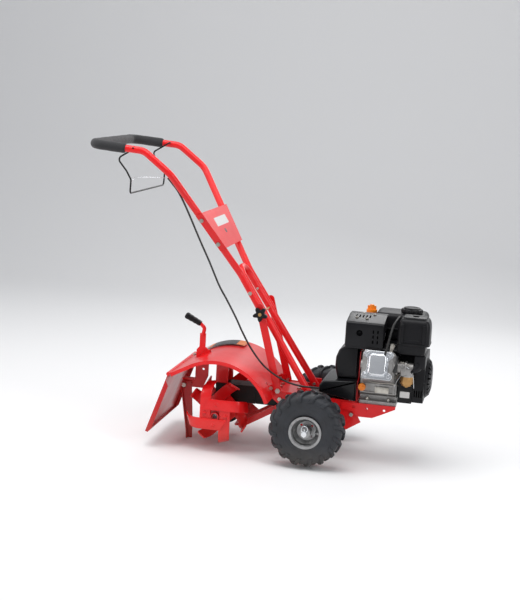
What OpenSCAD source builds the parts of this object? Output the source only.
// Walk-behind garden tiller with rear tines: engine in front, belt drive to a worm gearcase,
// two driven wheels, counter-rotating tines under a hood, and a looped handlebar with a clutch bail.
// +X points forward, +Y to the machine's left, +Z up. Millimetres.

/* [Wheels] */
// Outside diameter of the tyres over the lugs
tyre_d = 270; // [262:1:276]
// Width of one tyre
tyre_w = 96; // [84:1:100]
// Distance between the two tyre centres
track = 440; // [430:1:460]
// Outside diameter of the rim flanges
rim_d = 116; // [108:1:120]

/* [Tilling end] */
// Width of the tine hood
hood_w = 400; // [384:2:404]
// Radius of the hood sheet about the tine shaft
hood_r = 208; // [204:1:212]
// Width of the strip that a tine is bent from
tine_w = 40; // [34:1:44]
// Thickness of a tine
tine_t = 6; // [4:0.5:7]
// Angle through which a tine is bent
tine_bend = 75; // [60:1:80]

/* [Handlebar] */
// Outside diameter of the handlebar tubes
tube_d = 25; // [22:0.5:25]
// Outside diameter of the foam grip
grip_d = 35; // [30:1:36]
// Distance between the two sides of the upper loop, tube centre to centre
handle_w = 476; // [440:2:490]
// Diameter of the bail wire
bail_d = 6; // [5:0.5:7]

/* [Engine] */
// Diameter of the fuel cap
fuel_cap_d = 76; // [70:1:80]
// Width of the blower housing
blower_w = 208; // [200:2:214]
// Number of cooling fins on the cylinder
fin_count = 7; // [5:1:7]

/* [Hidden] */

$fn = 48;
axle_x = 209;                 // the axle, ahead of the middle of the whole machine
axle_z = tyre_d / 2;
shaft_r = 9.5;                // wheel and tine shafts
run = 0.05;                   // running clearance on the radius
gap = 0.3;                    // clearance between pieces that only pass each other

tine_x = -344;                // tine shaft, behind the axle and level with it
input_z = axle_z + 60;        // input shaft, above both worm wheels
case_half = 38;               // half width of the gearcase
plate_y = 97;                 // middle of a frame plate
rail_top = 222;               // engine seat
belt_x = 115;                 // middle of the belt
crank_z = 317;
cyl_x = 226;                  // middle of the cylinder along the crankshaft
cyl_tilt = 70;                // turn of the cylinder from upright towards the right

leg_low = [-28, -75, 238];    // handlebar pivot, right side
leg_top = [-312, -46, 658];   // top of the lower handlebar, right side
knob_x = -212;
knob_z = 510;
brace_low = [-134, 236];
hood_bolt = [-160, 242];      // hood tab on the frame plate
deck_bolts = [-138, -70];     // deck plate on the gearcase
brace_y = 102;
bail_x = -669;
bail_z = 1063;
flap_x = -519;
flap_z = 277;
stake_bolt = [-505, 199];
lever_route = [[-445, 0, 390], [-440, 0, 419], [-457, 0, 433.5], [-505, 0, 457]];
slope = 56.46;                // lean of the handlebar panel
plate_holes = [[137, 178], [-126, 205], [-98, 218], [60, 160]];
rail_holes = [[190, 204], [253, 204]];
idler_pivot = [74.9, 288];
idler_pos = [83.6, 267.8];

// Route of the clutch cable, from its stop on the upper handlebar into the belt cover
cable_route = [
  [-547, -222, 978], [-534, -214, 961], [-509, -206, 928], [-479, -196, 870], [-431, -182, 766],
  [-395, -170, 690], [-359, -158, 609], [-329, -150, 557], [-294, -142, 494], [-267, -135, 440],
  [-232, -128, 381], [-182, -120, 322], [-115, -114, 280], [-53, -110, 264], [0, -102, 262],
  [24, -96, 260]];

// Route of the spark plug lead, from the blower housing over the head to the plug
lead_route = [[292, -62, 412], [288, -110, 408], [290, -160, 412], [293, -196, 408], [292, -206, 388],
  [288, -186, 368]];

function unit(v) = v / norm(v);
function mirrored(p) = [p[0], -p[1], p[2]];
function turned(v, a) = [v[0] * cos(a) - v[1] * sin(a), v[0] * sin(a) + v[1] * cos(a)];

// An arc of radius r that rounds the corner at p between a and b
function corner(a, p, b, r, n) =
  let (u = unit(a - p), v = unit(b - p), half = acos(u * v) / 2, c = p + unit(u + v) * r / sin(half),
       s = p + u * r / tan(half) - c, e = p + v * r / tan(half) - c, sweep = 180 - 2 * half)
  [for (k = [0 : n]) c + (s * sin(sweep * (1 - k / n)) + e * sin(sweep * k / n)) / sin(sweep)];

// A path with its inner corners rounded, one radius for each
function bent(path, radii, n = 6) = concat([path[0]],
  [for (i = [1 : len(path) - 2]) each corner(path[i - 1], path[i], path[i + 1], radii[i - 1], n)],
  [path[len(path) - 1]]);

// A smooth curve through the points of a route, with n steps to a stretch
function smooth(p, n) = let (m = len(p) - 1) concat(
  [for (i = [0 : m - 1], k = [0 : n - 1])
    let (a = p[max(i - 1, 0)], b = p[i], c = p[i + 1], d = p[min(i + 2, m)], t = k / n)
    (2 * b + (c - a) * t + (2 * a - 5 * b + 4 * c - d) * t * t + (3 * b - a - 3 * c + d) * t * t * t) / 2],
  [p[m]]);

function tangents(p) = [for (i = [0 : len(p) - 1]) unit(p[min(i + 1, len(p) - 1)] - p[max(i - 1, 0)])];
function normals(t, n0) = [for (i = 0, n = unit(n0 - (n0 * t[0]) * t[0]); i < len(t);
  i = i + 1, n = i < len(t) ? unit(n - (n * t[i]) * t[i]) : n) n];
function rings(p, r, sides, n0) = let (t = tangents(p), n = normals(t, n0))
  [for (i = [0 : len(p) - 1], k = [0 : sides - 1])
    p[i] + r * (cos(360 * k / sides) * n[i] + sin(360 * k / sides) * cross(t[i], n[i]))];

// Side faces of a sweep, whose ring points start at index base
function side_faces(count, sides, base, inward) = [for (i = [0 : count - 2], k = [0 : sides - 1])
  let (a = base + i * sides + k, b = base + i * sides + (k + 1) % sides)
  inward ? [a, b, b + sides, a + sides] : [a, a + sides, b + sides, b]];

// Faces cut into triangles from their first corner
function triangles(faces) = [for (f = faces, i = [1 : len(f) - 2]) [f[0], f[i], f[i + 1]]];

// A solid round rod along a path
module rod(path, d, sides = 12, n0 = [0.3, 0.2, 1]) {
  m = len(path);
  polyhedron(rings(path, d / 2, sides, n0), concat(side_faces(m, sides, 0, false),
    [[for (k = [0 : sides - 1]) k]], [[for (k = [0 : sides - 1]) m * sides - 1 - k]]));
}

// A round tube along a path
module tube(path, d, bore, sides = 16, n0 = [0.3, 0.2, 1]) {
  m = len(path);
  inner = m * sides;
  last = (m - 1) * sides;
  polyhedron(concat(rings(path, d / 2, sides, n0), rings(path, bore / 2, sides, n0)),
    concat(side_faces(m, sides, 0, false), side_faces(m, sides, inner, true),
      [for (k = [0 : sides - 1]) [k, (k + 1) % sides, inner + (k + 1) % sides, inner + k]],
      [for (k = [0 : sides - 1])
        [last + (k + 1) % sides, last + k, inner + last + k, inner + last + (k + 1) % sides]]));
}

// A straight round bar between two points
module strut(a, b, d) {
  v = b - a;
  translate(a) rotate([0, acos(v[2] / norm(v)), atan2(v[1], v[0])]) cylinder(d = d, h = norm(v));
}

module xcyl(d, x0, x1) translate([x0, 0, 0]) rotate([0, 90, 0]) cylinder(d = d, h = x1 - x0);
module ycyl(d, y0, y1) translate([0, y1, 0]) rotate([90, 0, 0]) cylinder(d = d, h = y1 - y0);
module at_xz(p) translate([p[0], 0, p[1]]) children();
module box(lo, hi) translate(lo) cube(hi - lo);
module both_sides() {
  children();
  mirror([0, 1, 0]) children();
}

// A plate that lies along X and Z, cut from an outline of X and Z points
module plate(points, y0, y1) translate([0, y1, 0]) rotate([90, 0, 0]) linear_extrude(y1 - y0) polygon(points);

// The same from a drawn outline
module slab(y0, y1) translate([0, y1, 0]) rotate([90, 0, 0]) linear_extrude(y1 - y0) children();

// A solid that runs along X, cut from an outline of Y and Z points
module along_x(x0, x1) translate([x0, 0, 0]) rotate([90, 0, 90]) linear_extrude(x1 - x0) children();

// An outline with rounded corners
module round_rect(w, h, r) {
  for (sx = [-1, 1], sy = [-1, 1]) translate([sx * (w / 2 - r), sy * (h / 2 - r)]) circle(r);
  square([w - 2 * r, h], center = true);
  square([w, h - 2 * r], center = true);
}

// A box with rounded upright edges
module round_box(lo, hi, r) translate([(lo[0] + hi[0]) / 2, (lo[1] + hi[1]) / 2, lo[2]])
  linear_extrude(hi[2] - lo[2]) round_rect(hi[0] - lo[0], hi[1] - lo[1], r);

// A straight bar outline with round ends, between two points
module link(a, b, w) {
  for (p = [a, b]) translate(p) circle(d = w);
  translate(a) rotate(atan2(b[1] - a[1], b[0] - a[0])) translate([0, -w / 2]) square([norm(b - a), w]);
}

// A hexagon-headed bolt along Y, whose head faces the right side
module side_bolt(p, head_y, end_y, d = 8) at_xz(p) {
  ycyl(d, head_y, end_y);
  translate([0, head_y, 0]) rotate([90, 0, 0]) cylinder(d = 1.9 * d, h = 0.6 * d, $fn = 6);
}

// ---------------------------------------------------------------- frame
module frame_plate() difference() {
  plate([[-172, 226], [-172, 246], [-160, 256], [-142, 256], [-128, 235], [150, 226], [150, 190],
    [172, 152], [122, 120], [40, 98], [-40, 98], [-92, 150], [-128, 186], [-152, 204]],
    -plate_y - 2, -plate_y + 2);
  for (p = plate_holes) at_xz(p) ycyl(8.4, -plate_y - 3, -plate_y + 3);
  at_xz([0, axle_z]) ycyl(34, -plate_y - 3, -plate_y + 3);
  at_xz(hood_bolt) ycyl(8.4, -plate_y - 3, -plate_y + 3);
  at_xz([leg_low[0], leg_low[2]]) ycyl(10.4, -plate_y - 3, -plate_y + 3);
  at_xz(brace_low) ycyl(10.4, -plate_y - 3, -plate_y + 3);
}
module frame_plates() color("red") both_sides() union() {
  frame_plate();
  difference() {
    box([-50, -plate_y - 2, 222], [-6, -plate_y + 2, 252]);
    at_xz([leg_low[0], leg_low[2]]) ycyl(10.4, -plate_y - 3, -plate_y + 3);
  }
}

module engine_rail() difference() {
  union() {
    plate([[100, 222], [292, 222], [292, 212], [240, 186], [212, 173], [158, 173], [140, 190], [100, 196]],
      -plate_y - 6.2, -plate_y - 2.2);
    box([153, -plate_y - 6.2, 218], [292, -66, 222]);
  }
  for (p = rail_holes) at_xz(p) ycyl(9, -plate_y - 8, -plate_y);
  at_xz([142, 206]) ycyl(13, -plate_y - 8, -plate_y);
  for (x = [187.25, 262.75]) translate([x, -81, 210]) cylinder(d = 8.6, h = 20);
  at_xz(plate_holes[0]) ycyl(8.4, -plate_y - 8, -plate_y);
}
module engine_rails() color("red") both_sides() engine_rail();

module bulkhead() color("firebrick") difference() {
  along_x(149, 152) polygon([[-92, 222.3], [92, 222.3], [92, 298], [64, 306], [62, 398], [50, 408],
    [-50, 408], [-62, 398], [-64, 306], [-92, 298]]);
  translate([0, 0, crank_z]) xcyl(64, 148, 153);
  translate([0, idler_pivot[0], idler_pivot[1]]) xcyl(8.1, 148, 153);
}

module deck_plate() color("firebrick") difference() {
  box([-156.8, -94.6, 227.4], [-55, 94.6, 231.4]);
  both_sides() box([-160, -96, 226], [-133, -90.3, 233]);
  for (s = [-1, 1], x = deck_bolts) translate([x, 24 * s, 226]) cylinder(d = 8.4, h = 8);
  both_sides() at_xz(brace_low) ycyl(24, -96, -84);
  for (s = [-1, 1]) box([-68, s * 86 - 12, 226], [-50, s * 86 + 12, 233]);
}

module lower_strut() color("red") both_sides() difference() {
  plate([[tine_x + 56, 85], [tine_x + 68, 67], [-103, 170], [-59, 206], [-62, 222], [-75, 220], [-118, 186]],
    -50, -45);
  at_xz([-98, 188]) ycyl(8.4, -51, -44);
}

// ---------------------------------------------------------------- gearcase
module case_outline(lobe, tine_lobe, tunnel, x0, x1) {
  translate([0, axle_z]) circle(r = lobe);
  translate([tine_x, axle_z]) circle(r = tine_lobe);
  translate([x0, input_z - tunnel]) square([x1 - x0, 2 * tunnel]);
}
module case_half_shell() difference() {
  union() {
    slab(0, case_half) case_outline(62, 58, 32, tine_x - 34, 66);
    slab(0, 6) case_outline(68, 64, 32, tine_x - 38, 66);
    translate([0, 0, input_z]) intersection() {
      xcyl(56, 60, 92);
      box([50, 0, -60], [100, 60, 60]);
    }
    at_xz([0, axle_z]) ycyl(50, 30, 46);
    at_xz([tine_x, axle_z]) ycyl(50, 30, 46);
    for (x = [-230, -110]) box([x - 4, 10, input_z - 32], [x + 4, 42, input_z + 32]);
  }
  slab(-1, case_half - 8) case_outline(54, 50, 24, tine_x - 26, 52);
  for (x = [0, tine_x]) at_xz([x, axle_z]) ycyl(36.2, -1, 60);
  translate([0, 0, input_z]) xcyl(40.2, 40, 95);
  for (x = deck_bolts) translate([x, 24, 180]) cylinder(d = 8.4, h = 60);
}
module gearcase_left() color("dimgray") case_half_shell();
module gearcase_right() color("dimgray") mirror([0, 1, 0]) translate([0, 0.01, 0]) case_half_shell();

module bearing_ring(bore, d, w) difference() {
  cylinder(d = d, h = w);
  translate([0, 0, -1]) cylinder(d = bore, h = w + 2);
}
module bearings() color("silver") {
  for (x = [0, tine_x], s = [-1, 1]) translate([x, s * 38, axle_z]) rotate([90, 0, 0])
    translate([0, 0, -7]) bearing_ring(2 * (shaft_r + run), 36, 14);
  for (x = [70, 54]) translate([x, 0, input_z]) rotate([0, 90, 0]) bearing_ring(17.1, 40, 12);
  for (x = [160, 284]) translate([x, 0, crank_z]) rotate([0, 90, 0]) bearing_ring(25.1, 52, 8);
}

// ---------------------------------------------------------------- wheels
module axle() color("lightgray") {
  at_xz([0, axle_z]) ycyl(2 * shaft_r, -track / 2 - 66, track / 2 + 66);
  both_sides() translate([0, -track / 2 - 57, axle_z]) {
    translate([0, 0, -14]) cylinder(d = 4.5, h = 30);
    translate([0, 0, 16]) rotate([90, 0, 0]) rotate_extrude() translate([11, 0]) circle(d = 3);
  }
}

// A gear or worm wheel with square-cut teeth, about its own Z axis
module toothed(tip, root, teeth, w, bore) difference() {
  linear_extrude(w, center = true) union() {
    circle(r = root);
    for (i = [0 : teeth - 1]) rotate(360 * i / teeth)
      polygon([[root - 1, -2.6], [tip, -1.3], [tip, 1.3], [root - 1, 2.6]]);
  }
  cylinder(d = bore, h = 2 * w, center = true);
}
module worm_wheel() rotate([90, 0, 0]) toothed(45.5, 40, 30, 16, 2 * shaft_r);
module axle_gear() color("darkgoldenrod") translate([0, 0, axle_z]) worm_wheel();
module tine_gear() color("darkgoldenrod") translate([tine_x, 0, axle_z]) worm_wheel();

function tyre_outline(r, w) = [[rim_d / 2 - 6, -w / 2 + 6], [rim_d / 2 + 2, -w / 2 + 6],
  [rim_d / 2 + 12, -w / 2 + 1], [r - 44, -w / 2], [r - 24, -w / 2 + 1], [r - 13, -w / 2 + 7],
  [r - 10, -w / 4], [r - 9, 0], [r - 10, w / 4], [r - 13, w / 2 - 7], [r - 24, w / 2 - 1],
  [r - 44, w / 2], [rim_d / 2 + 12, w / 2 - 1], [rim_d / 2 + 2, w / 2 - 6], [rim_d / 2 - 6, w / 2 - 6]];
module tyre_hollow() rotate_extrude($fn = 72) polygon([[rim_d / 2 - 10, -tyre_w / 2 + 15],
  [rim_d / 2 + 12, -tyre_w / 2 + 9], [tyre_d / 2 - 26, -tyre_w / 2 + 9], [tyre_d / 2 - 19, 0],
  [tyre_d / 2 - 26, tyre_w / 2 - 9], [rim_d / 2 + 12, tyre_w / 2 - 9], [rim_d / 2 - 10, tyre_w / 2 - 15]]);
module lug(side) translate([tyre_d / 2 - 18, 0, 0]) rotate([0, 90, 0]) linear_extrude(17)
  polygon([[side * 2, -5], [side * 2, 4], [side * (tyre_w / 2 - 1), 17], [side * (tyre_w / 2 - 1), 7]]);
module tyre() {
  difference() {
    rotate_extrude($fn = 72) polygon(tyre_outline(tyre_d / 2, tyre_w));
    tyre_hollow();
  }
  for (side = [-1, 1], i = [0 : 15]) rotate(22.5 * (i + side / 4)) lug(side);
}
module tyres() color("#22262c") for (s = [-1, 1]) translate([0, s * track / 2, axle_z]) rotate([90, 0, 0]) tyre();

// Half outline of a rim: e is its half width, f the flange radius and b the radius under the bead
function rim_outline(e, f, b) = [[b, -e], [f, -e], [f, 3.7 - e], [b, 3.7 - e], [b, e - 3.7], [f, e - 3.7], [f, e],
  [b - 2, e], [b - 6, e - 6], [b - 6, 22], [34, 10], [18, 8], [18, e], [shaft_r + run, e], [shaft_r + run, -30],
  [18, -30], [18, 4], [35, 6], [b - 5, 18], [b - 5, 6 - e]];
module rim() {
  difference() {
    rotate_extrude() polygon(rim_outline(tyre_w / 2 - 2, rim_d / 2, rim_d / 2 - 6.3));
    for (i = [0 : 3]) rotate(45 + 90 * i) translate([27, 0, 0]) cylinder(d = 8, h = 30);
  }
  translate([36, 0, 14]) rotate([0, 20, 0]) cylinder(d = 9, h = 26);
}
module rims() color("gray") {
  translate([0, -track / 2, axle_z]) rotate([90, 0, 0]) rim();
  translate([0, track / 2, axle_z]) rotate([-90, 0, 0]) rim();
}

// ---------------------------------------------------------------- drive
module input_shaft() color("silver") translate([0, 0, input_z]) {
  xcyl(17, tine_x - 23, 125);
  for (x = [0, tine_x]) {
    for (i = [-2 : 2]) xcyl_at(x + 9.4 * i - 1.6, 28, 3.2);
    xcyl(21, x - 23, x + 24);
  }
}
module xcyl_at(x, d, w) xcyl(d, x, x + w);

// A grooved belt pulley about X: radius at the bottom of the groove and at the flanges
module sheave(bottom, flange, bore) rotate([0, 90, 0]) difference() {
  rotate_extrude() polygon([[bore, -9], [flange, -9], [flange, -4.4 - 0.3 * (flange - bottom)],
    [bottom, -4.4], [bottom, 4.4], [flange, 4.4 + 0.3 * (flange - bottom)], [flange, 9], [bore, 9]]);
  if (flange > 60) for (i = [0 : 5]) rotate(60 * i) translate([46, 0, -20]) cylinder(d = 26, h = 40);
}
module crankshaft() color("silver") translate([0, 0, crank_z]) {
  xcyl(19.9, 98, 151);
  xcyl(25, 150, 205);
  xcyl(25, 245, 300);
  xcyl(19.9, 299, 338);
  for (x = [198, 240]) xcyl(100, x, x + 12);
  translate([0, 0, 27]) xcyl(30, 208, 242);
}
module flywheel() color("dimgray") translate([0, 0, crank_z]) difference() {
  union() {
    xcyl(152, 306, 318);
    xcyl(50, 304, 336);
    for (i = [0 : 15]) rotate([22.5 * i, 0, 0]) box([317, -2, 46], [334, 2, 74]);
  }
  xcyl(20, 300, 340);
}
module drive_pulley() color("gray") translate([belt_x, 0, crank_z]) sheave(25, 36, 10);
module driven_pulley() color("gray") translate([belt_x, 0, input_z]) sheave(74, 84, 8.5);

// Outline of a loop round both pulleys, for radius r1 at the crankshaft and r2 at the input shaft
function belt_loop(r1, r2) = let (lean = asin((r2 - r1) / (crank_z - input_z))) concat(
  [for (a = [lean : (180 - 2 * lean) / 16 : 180 - lean]) [r1 * cos(a), crank_z + r1 * sin(a)]],
  [for (a = [180 - lean : (180 + 2 * lean) / 24 : 360 + lean]) [r2 * cos(a), input_z + r2 * sin(a)]]);
module drive_belt() color("#1c1c1c") along_x(belt_x - 4.9, belt_x + 4.9) difference() {
  polygon(belt_loop(35, 83));
  polygon(belt_loop(28, 76));
}

module idler_arm() color("gray") {
  along_x(128, 133) link(idler_pivot, idler_pos, 14);
  translate([0, idler_pivot[0], idler_pivot[1]]) xcyl(8, 126, 156);
  translate([0, idler_pos[0], idler_pos[1]]) xcyl(8, 106, 129);
}
module idler_pulley() color("#2a2a2a") translate([belt_x, idler_pos[0], idler_pos[1]]) rotate([0, 90, 0])
  translate([0, 0, -6.5]) bearing_ring(2 * (4 + run), 30, 13);

module belt_cover() color("#1b1b1d") difference() {
  union() {
    plate([[15, 250], [15, 276], [20, 286], [30, 292], [148, 301], [148, 228], [70, 240]], -110, 110);
    plate([[72, 294], [61, 340], [62, 372], [72, 400], [84, 412], [96, 416], [148, 416], [148, 294]], -62, 62);
  }
  plate([[18, 230], [18, 275], [22, 283], [31, 289], [150, 298], [150, 220]], -107, 107);
  plate([[75, 280], [64, 341], [65, 371], [74.5, 398], [86, 409], [97, 413], [150, 413], [150, 280]], -59, 59);
  translate([0, -96, 261]) xcyl(19, 10, 22);
}

// ---------------------------------------------------------------- engine
module on_cylinder() translate([cyl_x, 0, crank_z]) rotate([cyl_tilt, 0, 0]) children();

module crankcase() color("silver") {
  difference() {
    union() {
      round_box([158, -96, rail_top + 0.2], [292, 96, rail_top + 12], 6);
      along_x(160, 290) polygon([[-72, rail_top + 11], [-72, 250], [-90, 262], [-90, 300], [-66, 352],
        [-30, 392], [30, 400], [66, 384], [84, 350], [84, 262], [72, 250], [72, rail_top + 11]]);
      translate([0, 0, crank_z]) xcyl(62, 153, 162);
      for (z = [262, 292]) box([166, -94, z], [284, -88, z + 4]);
      for (x = [170, 225, 280]) box([x - 3, -94, 262], [x + 3, -88, 300]);
      for (x = [196, 272]) box([x - 8, 20, 380], [x + 8, 60, 439.6]);
    }
    translate([0, 0, crank_z]) xcyl(136, 172, 280);
    translate([0, 0, crank_z]) xcyl(52.2, 150, 300);
    on_cylinder() cylinder(d = 94, h = 140);
    for (x = [187.25, 262.75], y = [-81, 81]) translate([x, y, 210]) cylinder(d = 8.6, h = 30);
    at_xz([168, 282]) ycyl(12.4, -100, -80);
  }
  difference() {
    translate([160, 106, 244]) cylinder(d = 22, h = 272);
    translate([160, 106, 248]) cylinder(d = 14, h = 280);
  }
  box([160, 80, 264], [168, 98, 280]);
  box([160, 80, 336], [168, 98, 348]);
}

module cylinder_fins() linear_extrude(3) round_rect(116, 104, 10);
module engine_cylinder() color("silver") on_cylinder() difference() {
  union() {
    translate([0, 0, 84]) cylinder(d = 93, h = 84);
    for (i = [0 : fin_count - 1]) translate([0, 0, 106 + 9 * i]) cylinder_fins();
    translate([0, 0, 167]) linear_extrude(12) round_rect(110, 104, 10);
    translate([0, 0, 178]) linear_extrude(12) round_rect(100, 98, 10);
    for (s = [-1, 1]) translate([46 * s, 4, 152]) rotate([0, 90 * s, 0]) cylinder(d = 34, h = 15.8);
  }
  translate([0, 0, 60]) cylinder(d = 70, h = 108);
}

module valve_cover() color("gainsboro") on_cylinder() {
  difference() {
    union() {
      translate([0, 0, 190.2]) linear_extrude(3) round_rect(84, 100, 8);
      for (sx = [-1, 1], sy = [-1, 1]) translate([40 * sx, 38 * sy, 190.2]) cylinder(d = 26, h = 3);
      translate([0, 0, 193]) linear_extrude(13) round_rect(68, 82, 14);
      translate([0, 0, 206]) linear_extrude(6) round_rect(60, 74, 12);
    }
    translate([0, 0, 190]) linear_extrude(19) round_rect(56, 70, 10);
  }
  for (sx = [-1, 1], sy = [-1, 1]) translate([40 * sx, 38 * sy, 193]) {
    cylinder(d = 14, h = 2);
    translate([0, 0, 2]) cylinder(d = 11, h = 5, $fn = 6);
  }
}

module muffler() color("dimgray") {
  round_box([112, -118, 448], [222, -20, 506], 24);
  difference() {
    translate([150, -117, 482]) rotate([90, 0, 0]) cylinder(d = 20, h = 16);
    translate([150, -110, 482]) rotate([90, 0, 0]) cylinder(d = 16, h = 30);
  }
  strut([190, -110, 428], [190, -110, 452], 24);
}

module muffler_guard() color("#161618") difference() {
  along_x(100, 235) polygon([[-140, 434], [-140, 508], [-136, 517], [-126, 521], [-50, 536], [-4, 536],
    [-4, 434]]);
  along_x(102, 233) polygon([[-138, 430], [-138, 507], [-134.5, 515], [-125, 519], [-50, 534], [-6, 534],
    [-6, 430]]);
  for (i = [0 : 4]) box([126 + 12 * i, -88, 500], [131 + 12 * i, -60, 545]);
  translate([150, -130, 482]) rotate([90, 0, 0]) cylinder(d = 22, h = 20);
  for (z = [448, 466, 484], x = [196, 212]) box([x, -142, z], [x + 5, -136, z + 12]);
}

module fuel_tank() color("#1d1d20") difference() {
  union() {
    round_box([182, 8, 440], [370, 150, 524], 26);
    round_box([190, 16, 523], [362, 142, 536], 22);
    translate([311, 60, 530]) cylinder(d = 54, h = 14);
    round_box([176, 2, 478], [376, 156, 484], 30);
  }
  round_box([185, 11, 443], [367, 147, 522], 23);
  round_box([194, 20, 520], [358, 138, 533], 18);
  translate([311, 60, 515]) cylinder(d = 46, h = 40);
}
module fuel_cap() color("#141416") translate([311, 60, 0]) difference() {
  union() {
    translate([0, 0, 536.4]) cylinder(d = fuel_cap_d, h = 14);
    translate([0, 0, 550.4]) cylinder(d = fuel_cap_d - 8, h = 6);
    for (i = [0 : 11]) rotate(30 * i) translate([fuel_cap_d / 2 - 2, 0, 537.4]) cylinder(d = 8, h = 12);
  }
  translate([0, 0, 530]) cylinder(d = 54.6, h = 15);
}

module air_cleaner_base() color("#1a1a1d") {
  difference() {
    round_box([283, -148, 421], [384, -50, 455], 10);
    round_box([287, -144, 425], [380, -54, 460], 8);
  }
  strut([365, -128, 374], [365, -120, 424], 30);
}
module air_cleaner_cover() color("#202024") {
  difference() {
    union() {
      round_box([281, -150, 455.2], [397, -42, 540], 20);
      round_box([289, -142, 539], [389, -50, 552], 16);
    }
    round_box([284, -147, 450], [394, -45, 537], 17);
  }
  for (x = [301, 375]) box([x - 4, -153, 464], [x + 4, -146, 532]);
  translate([338, -96, 551]) cylinder(d = 22, h = 5);
}

module carburetor() color("silver") translate([0, -130, 372]) {
  difference() {
    union() {
      xcyl(38, 288, 346);
      for (x = [288, 318]) translate([x, 0, 0]) along_x(0, 5) round_rect(50, 46, 8);
      box([306, -22, -24], [346, 22, 0]);
      translate([326, 0, -28]) cylinder(d = 48, h = 6);
    }
    translate([0, 0, -7]) at_xz([344, 0]) ycyl(4.2, -40, -12);
  }
}
module float_bowl() color("goldenrod") translate([326, -130, 0]) {
  translate([0, 0, 318]) cylinder(d = 46, h = 26);
  translate([0, 0, 310]) cylinder(d = 34, h = 9);
  translate([0, 0, 304]) cylinder(d = 12, h = 7, $fn = 6);
}
module choke_lever() color("#202020") translate([0, -130, 365]) at_xz([344, 0]) {
  ycyl(4, -42, -14);
  slab(-27, -24) link([0, 0], [16, 26], 9);
}

// Outline of the blower housing, w to each side of the crankshaft, from its lower to its upper edge
module cowl_outline(w, low, high) polygon([[8 - w, low], [w - 8, low], [w, 290], [w, 380], [w - 20, high],
  [20 - w, high], [-w, 380], [-w, 290]]);
module blower_housing() color("#1a1a1c") {
  difference() {
    union() {
      along_x(296, 345) cowl_outline(blower_w / 2, 238, 418);
      box([306, 84, 336], [336, 118, 372]);
    }
    along_x(299, 350) cowl_outline(blower_w / 2 - 3, 241, 415);
    translate([0, 0, crank_z]) xcyl(120, 290, 310);
    box([311, 104, 341], [331, 119, 367]);
  }
}
module engine_switch() color("crimson") {
  translate([321, 110, 354]) rotate([6, 0, 0]) box([-8.5, -3, -11], [8.5, 7, 11]);
  translate([0, 107, 354]) xcyl(5.4, 311.3, 330.7);
}

module recoil_cover() color("#1a1a1c") difference() {
  union() {
    along_x(345.2, 385) cowl_outline(blower_w / 2 - 6, 242, 408);
    translate([384, 0, crank_z]) rotate([0, 90, 0]) rotate_extrude()
      polygon([[0, 0], [72, 0], [72, 3], [61, 15], [40, 21], [0, 21]]);
  }
  along_x(345, 382) cowl_outline(blower_w / 2 - 9, 245, 405);
  translate([381, 0, crank_z]) rotate([0, 90, 0]) rotate_extrude()
    polygon([[0, 0], [69, 0], [69, 5], [60, 15], [39, 21], [0, 21]]);
  for (i = [0 : 19]) translate([0, 0, crank_z]) rotate([18 * i + 9, 0, 0]) box([384, -3, 44], [410, 3, 66]);
  for (i = [0 : 3]) box([352 + 8 * i, -104, 262], [356 + 8 * i, -84, 288]);
  translate([372, 110, 340]) rotate([90, 0, 0]) cylinder(d = 12, h = 40);
}
module starter_grip() color("#111111") translate([372, 0, 340]) {
  ycyl(4, 84, 112);
  translate([0, 118, 0]) rotate([0, 90, 0]) linear_extrude(16, center = true) round_rect(44, 16, 7.5);
}

module dipstick() color("orange") translate([160, 106, 0]) {
  translate([0, 0, 516.3]) cylinder(d = 39, h = 12);
  translate([0, 0, 528]) linear_extrude(14) round_rect(32, 9, 4);
  translate([0, 0, 528]) cylinder(d = 16, h = 18);
  translate([0, 0, 300]) cylinder(d = 5, h = 217);
}
module oil_plug() color("orange") at_xz([168, 282]) {
  ycyl(12.3, -95, -82);
  ycyl(26, -106, -94.4);
  translate([0, -104, 0]) rotate([90, 0, 0]) linear_extrude(7) round_rect(21, 7, 3);
}
module spark_lead() color("#151515") {
  rod(smooth(lead_route, 5), 7, 8);
  strut([292, -206, 386], [288, -186, 368], 17);
}

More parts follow.
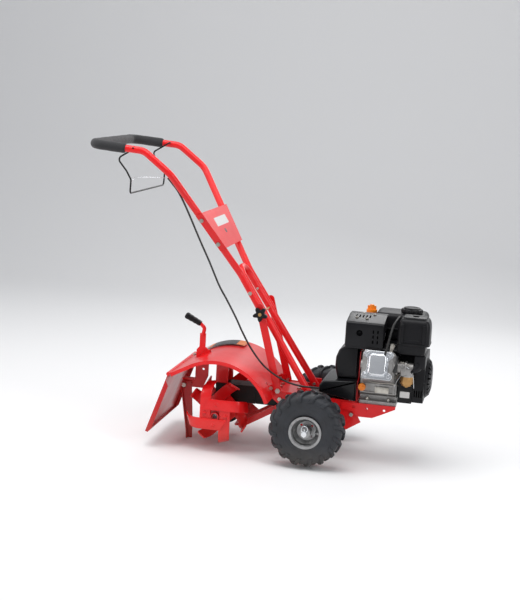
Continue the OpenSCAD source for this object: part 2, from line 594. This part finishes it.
// ---------------------------------------------------------------- hood and flap
function hood_end() = let (a = 118) [tine_x, axle_z] + hood_r * [cos(a), sin(a)] + 80 * [-sin(a), cos(a)];
module hood_strip(depth) {
  a = 118;
  start = [tine_x, axle_z] + hood_r * [cos(a), sin(a)];
  inward = -depth * [cos(a), sin(a)];
  polygon([start, hood_end(), hood_end() + inward, start + inward]);
}
module hood_band(depth) {
  translate([tine_x, axle_z]) intersection() {
    difference() {
      circle(r = hood_r, $fn = 96);
      circle(r = hood_r - depth, $fn = 96);
    }
    polygon([[0, 0], 400 * [cos(21), sin(21)], 400 * [cos(60), sin(60)], 400 * [cos(118), sin(118)]]);
  }
  hood_strip(depth);
}
module hood() color("red") {
  difference() {
    union() {
      slab(-hood_w / 2, hood_w / 2) hood_band(2.5);
      both_sides() slab(-hood_w / 2, -hood_w / 2 + 6) hood_band(13);
      both_sides() plate([[-380, 227.3], [-334, 227.3], [-334, 341.6], [-380, 338.6]], -34, -30);
      both_sides() plate([[-172, 225], [-178, 250], [-144, 253], [-141, 238], [-160, 222]], -94.6, -90.6);
      both_sides() plate([[-440, 312], [-440, 328], [-430, 336], [-414, 340], [-414, 318]], -10, -6);
      for (y = [-180, 0, 180]) translate([0, y, 0]) {
        at_xz([flap_x, flap_z]) ycyl(12, -9, 9);
        plate([hood_end() + [3.8, 1.3], hood_end() + [4.5, 0.1], [flap_x, flap_z - 3],
          [flap_x - 3, flap_z + 5], [flap_x + 1, flap_z + 6]], -9, 9);
      }
    }
    box([-473, -5.2, 240], [-411, 5.2, 420]);
    at_xz([flap_x, flap_z]) ycyl(6.1, -220, 220);
    both_sides() at_xz(hood_bolt) ycyl(8.4, -96, -88);
    for (i = [0 : 2]) translate([-436 + 8 * i, 0, 333 + 4 * i]) rotate([0, 60, 0]) cube([5, 24, 5], center = true);
    both_sides() box([-200, -106, 200], [-140, -94.3, 262]);
    box([-200, -48, 195], [-130, 48, 228]);
  }
}

function flap_point(s, h) = [flap_x, flap_z] + s * unit([-75, -220]) + h * unit([220, -75]);
module flap_strip(s0, s1, h0, h1) polygon([flap_point(s0, h0), flap_point(s1, h0), flap_point(s1, h1),
  flap_point(s0, h1)]);
module rear_flap() color("firebrick") {
  difference() {
    union() {
      slab(-194, 194) flap_strip(8, 232, -1.2, 1.2);
      for (s = [148, 176, 204]) slab(-178, 178)
        polygon([flap_point(s - 8, 0), flap_point(s - 3, -4), flap_point(s + 3, -4), flap_point(s + 8, 0)]);
      both_sides() slab(-194, -191.6) polygon([flap_point(26, 0), flap_point(232, 0), flap_point(232, 9),
        flap_point(216, 16), flap_point(44, 16)]);
      slab(-194, 194) flap_strip(229, 232, 0, 9);
      for (y = [-120, -60, 60, 120]) translate([0, y, 0]) {
        at_xz([flap_x, flap_z]) ycyl(12, -14, 14);
        slab(-14, 14) flap_strip(3, 12, -1.2, 1.2);
      }
    }
    at_xz([flap_x, flap_z]) ycyl(6.1, -220, 220);
  }
}

// ---------------------------------------------------------------- tines
bend_r = 46;                  // inside of a tine's bend, measured at its outer face
bend_start = 54;              // distance from the hub at which a tine starts to bend
bend_skew = 18;               // slant of the bend across the strip
tine_offset = 36;             // a tine's middle line passes this far from the hub axis

// Where a point of the flat strip lands when the strip is bent: u along it, v across it, h into it
function tine_point(u, v, h) =
  let (a = u * cos(bend_skew) + v * sin(bend_skew), w = v * cos(bend_skew) - u * sin(bend_skew),
       over = max(0, a - bend_start), ang = min(over / bend_r * 180 / PI, tine_bend),
       rest = max(0, over - bend_r * tine_bend * PI / 180),
       p = min(a, bend_start) + (bend_r - h) * sin(ang) + rest * cos(ang),
       y = bend_r - (bend_r - h) * cos(ang) + rest * sin(ang))
  [p * cos(bend_skew) - w * sin(bend_skew), tine_offset + p * sin(bend_skew) + w * cos(bend_skew), y];

function tine_stations() = [[-15, 0.5], [-6, 0.9], [2, 1], each [for (u = [30 : 8 : 134]) [u, 1]],
  [138, 0.9], [141, 0.7]];
module tine() {
  st = tine_stations();
  m = len(st);
  polyhedron([for (s = st, c = [[-1, 0], [0, 0], [1, 0], [1, 1], [0, 1], [-1, 1]])
    tine_point(s[0], c[0] * s[1] * tine_w / 2, c[1] * tine_t)],
    triangles(concat(side_faces(m, 6, 0, false), [[0, 1, 4, 5], [1, 2, 3, 4]],
      [for (f = [[5, 4, 1, 0], [4, 3, 2, 1]]) [for (k = f) (m - 1) * 6 + k]])));
}

// Four tines about the shaft; face is where their flat ends lie and side the way they bend
module tine_set(face, side, turn) translate([tine_x, face, axle_z]) mirror([0, side > 0 ? 1 : 0, 0])
  rotate([90, 0, 0]) for (i = [0 : 3]) rotate(turn + 90 * i) tine();
module tines_right() color("red") {
  tine_set(-178, 1, 0);
  tine_set(-66, -1, 45);
}
module tines_left() color("red") mirror([0, 1, 0]) tines_right();

module hub_flange(y0, turn) translate([tine_x, y0 + 5, axle_z]) rotate([90, turn, 0]) linear_extrude(5)
  square(86, center = true);
module rivet_heads(y0, turn) translate([tine_x, y0, axle_z]) rotate([0, turn, 0]) for (i = [0 : 3])
  rotate([0, 90 * i, 0]) translate([4, 0, 38]) rotate([90, 0, 0]) cylinder(d = 14, h = 3, center = true);
module tine_hub() {
  difference() {
    union() {
      at_xz([tine_x, axle_z]) ycyl(31, -184, -52);
      hub_flange(-171.8, 0);
      hub_flange(-65.8, 45);
    }
    at_xz([tine_x, axle_z]) ycyl(2 * shaft_r + 0.1, -186, -50);
    at_xz([tine_x, axle_z]) ycyl(24, -186, -176);
    translate([tine_x, -120, axle_z - 30]) cylinder(d = 8.2, h = 60);
  }
  rivet_heads(-179.6, 0);
}
module tine_hubs() color("firebrick") both_sides() tine_hub();
module tine_shaft() color("silver") at_xz([tine_x, axle_z]) {
  ycyl(2 * shaft_r, -150, 150);
  both_sides() translate([0, -120, -20]) cylinder(d = 8, h = 40);
}

// ---------------------------------------------------------------- depth control
module depth_bar() color("red") {
  difference() {
    plate([[-456, 398], [-434, 398], [-434, 348], [-417, 336], [-417, 238], [-436, 192], [-512, 192],
      [-512, 226], [-466, 226], [-466, 336], [-456, 348]], -3, 3);
    at_xz([-436, 264]) ycyl(9, -5, 5);
    at_xz(stake_bolt) ycyl(10.2, -5, 5);
  }
  plate([[-512, 222.5], [-466, 222.5], [-466, 226], [-512, 226]], -14, 14);
  rod(bent(lever_route, [14, 14], 5), 14, 16);
}
module stake() color("firebrick") {
  difference() {
    union() {
      plate([[-514, 214], [-477, 214], [-466, 60], [-466, 0], [-486, 0], [-487, 30], [-510, 150]], -8.4, -3.4);
      plate([[-514, 190], [-511, 190], [-484, 30], [-482, 0], [-486, 0], [-488, 30]], -20, 12);
    }
    at_xz(stake_bolt) ycyl(10.2, -12, 12);
    plate([[-530, 240], [-500, 240], [-500, 184], [-530, 184]], -3.2, 20);
  }
  at_xz(stake_bolt) {
    ycyl(10, -8.4, 9);
    translate([0, -8.4, 0]) rotate([90, 0, 0]) cylinder(d = 18, h = 6, $fn = 6);
    ycyl(16, 3.2, 9);
  }
}
module lever_grip() color("#1a1a1a") difference() {
  union() {
    strut([-457, 0, 433.5], [-514, 0, 461.4], 24);
    for (t = [0.3, 0.55, 0.8]) translate([-457 - 57 * t, 0, 433.5 + 27.9 * t]) sphere(d = 26);
    translate([-512, 0, 460.4]) sphere(d = 29);
  }
  strut([-440, 0, 425.2], [-506, 0, 457.5], 14.4);
}

// ---------------------------------------------------------------- handlebar
leg_dir = unit([-230, 0, 340]);
side_y = handle_w / 2;
joint_at = [-300, -72.6, 641];
elbow_low = [-532, -side_y, 991];
elbow_high = [-633, -side_y, 1067];
rear_corner = [-822, -side_y, 1080];
upper_end = [-204, -83.6, 498];
upper_path = bent([upper_end, joint_at, elbow_low, elbow_high, rear_corner, mirrored(rear_corner),
  mirrored(elbow_high), mirrored(elbow_low), mirrored(joint_at), mirrored(upper_end)],
  [60, 90, 60, 44, 44, 60, 90, 60], 5);
lower_path = bent([leg_low - 16 * leg_dir, leg_top, mirrored(leg_top), mirrored(leg_low) - 16 * leg_dir],
  [45.9, 45.9], 8);
grip_path = bent([[-699, -side_y, 1071.5], rear_corner, mirrored(rear_corner), [-699, side_y, 1071.5]],
  [44, 44], 6);
panel_at = [-300, 0, 641];
junction_bolt = [-258, 578];

function tube_y(s) = 72.6 + s * (side_y - 72.6) / norm([232, 350]);
module in_panel() translate(panel_at) rotate([0, slope, 0]) rotate([0, 0, 90]) children();
module panel_bolt_holes(d) in_panel() for (s = [132, 232]) translate([0, s, 0]) rotate([0, 90, 0])
  cylinder(d = d, h = 420, center = true);

module handle_upper() color("red") difference() {
  tube(upper_path, tube_d, tube_d - 4);
  panel_bolt_holes(8.4);
  at_xz(junction_bolt) ycyl(8.4, -120, 120);
  at_xz([knob_x, knob_z]) ycyl(8.1, -120, 120);
  at_xz([bail_x, bail_z + 6]) ycyl(6.1, -300, 300);
}
module handle_lower() color("red") difference() {
  tube(lower_path, tube_d, tube_d - 4);
  at_xz(junction_bolt) ycyl(8.4, -120, 120);
  at_xz([knob_x, knob_z]) ycyl(8.1, -120, 120);
  at_xz([leg_low[0], leg_low[2]]) ycyl(10.1, -120, 120);
}

module panel_outline(s0, s1, grow) polygon([[-tube_y(s0) - grow, s0], [tube_y(s0) + grow, s0],
  [tube_y(s1) + grow, s1], [-tube_y(s1) - grow, s1]]);
module handle_panel() color("red") difference() {
  in_panel() difference() {
    translate([0, 0, -9]) linear_extrude(25) panel_outline(108, 256, 16.6);
    translate([0, 0, -10]) linear_extrude(24) panel_outline(100, 264, 14.4);
  }
  panel_bolt_holes(8.4);
}

module hand_grip() color("#1e1e1e") tube(grip_path, grip_d, tube_d + 1);

module handle_bolts() color("silver") {
  both_sides() in_panel() for (s = [132, 232]) translate([tube_y(s), s, 0]) rotate([0, 90, 0]) {
    translate([0, 0, -15]) cylinder(d = 8, h = 36);
    translate([0, 0, 19.8]) cylinder(d = 15, h = 4);
    translate([0, 0, 23.6]) cylinder(d = 9, h = 2.5, $fn = 6);
  }
  both_sides() side_bolt(junction_bolt, -93, -32);
}

module clutch_cable() color("#232323") rod(smooth(cable_route, 5), 6.6, 8);

function brace_far() = [knob_x, knob_z] + 24 * unit([knob_x, knob_z] - brace_low);
module brace() difference() {
  slab(-brace_y - 2.5, -brace_y + 2.5) link(brace_low, brace_far(), 27);
  at_xz(brace_low) ycyl(10.1, -brace_y - 4, -brace_y + 4);
  slab(-brace_y - 4, -brace_y + 4) link([knob_x, knob_z] - 11 * unit([knob_x, knob_z] - brace_low),
    [knob_x, knob_z] + 11 * unit([knob_x, knob_z] - brace_low), 11);
}
module braces() color("red") both_sides() brace();

module star_knob() color("#151515") at_xz([knob_x, knob_z]) {
  ycyl(8, -122, 110);
  ycyl(30, -118, -106);
  translate([0, -108, 0]) rotate([90, 0, 0]) difference() {
    union() {
      cylinder(d = 34, h = 17);
      for (i = [0 : 4]) rotate(72 * i + 18) translate([18, 0, 0]) cylinder(d = 19, h = 17);
    }
    for (i = [0 : 4]) rotate(72 * i + 54) translate([30, 0, -1]) cylinder(d = 22, h = 20);
  }
}

bail_side = [[bail_x, -side_y - 14, bail_z + 6], [bail_x, -side_y + 22, bail_z + 6], [-735, -side_y + 22, 1033],
  [-700, -side_y + 22, 992], [-682, -side_y + 22, 962], [-684, -side_y + 22, 914]];
module bail() color("#151515") rod(bent(concat(bail_side, [for (i = [5 : -1 : 0]) mirrored(bail_side[i])]),
  [8, 14, 20, 20, 14, 14, 20, 20, 14, 8], 4), bail_d, 8);

// ---------------------------------------------------------------- fasteners
module fasteners() color("silver") {
  both_sides() {
    side_bolt(plate_holes[0], -plate_y - 6.4, -plate_y + 9);
    for (i = [1 : 3]) side_bolt(plate_holes[i], -plate_y - 2.2, -plate_y + 9);
    side_bolt(hood_bolt, -plate_y - 2.2, -84);
    side_bolt([leg_low[0], leg_low[2]], -plate_y - 2.2, -56, 10);
    side_bolt(brace_low, -brace_y - 2.8, -86, 10);
    for (x = deck_bolts) translate([x, -24, 214]) {
      cylinder(d = 8, h = 24);
      translate([0, 0, 17.6]) cylinder(d = 14, h = 6, $fn = 6);
    }
    for (x = [187.25, 262.75]) translate([x, -81, 208]) {
      cylinder(d = 8, h = 36);
      translate([0, 0, 26.4]) cylinder(d = 14, h = 6, $fn = 6);
    }
  }
  at_xz([flap_x, flap_z]) ycyl(6, -192, 192);
}

module from_axle() translate([axle_x, 0, 0]) children();

from_axle() frame_plates();
from_axle() engine_rails();
from_axle() bulkhead();
from_axle() deck_plate();
from_axle() lower_strut();
from_axle() gearcase_left();
from_axle() gearcase_right();
from_axle() bearings();
from_axle() hood();
from_axle() belt_cover();
from_axle() drive_belt();
from_axle() crankcase();
from_axle() engine_cylinder();  // cylinder
from_axle() valve_cover();
from_axle() muffler();
from_axle() muffler_guard();
from_axle() fuel_tank();
from_axle() air_cleaner_base();
from_axle() air_cleaner_cover();
from_axle() carburetor();
from_axle() float_bowl();
from_axle() blower_housing();
from_axle() recoil_cover();
from_axle() spark_lead();
from_axle() fasteners();
from_axle() handle_upper();
from_axle() handle_lower();
from_axle() handle_panel();
from_axle() hand_grip();
from_axle() handle_bolts();
from_axle() clutch_cable();
from_axle() braces();
from_axle() star_knob();
from_axle() bail();
from_axle() idler_arm();
from_axle() idler_pulley();
from_axle() crankshaft();
from_axle() drive_pulley();
from_axle() flywheel();
from_axle() input_shaft();
from_axle() driven_pulley();
from_axle() axle();
from_axle() axle_gear();
from_axle() tyres();
from_axle() rims();
from_axle() tine_shaft();
from_axle() tine_gear();
from_axle() tine_hubs();
from_axle() tines_left();
from_axle() tines_right();
from_axle() rear_flap();
from_axle() depth_bar();
from_axle() stake();
from_axle() lever_grip();
from_axle() fuel_cap();
from_axle() dipstick();
from_axle() oil_plug();
from_axle() choke_lever();
from_axle() engine_switch();
from_axle() starter_grip();
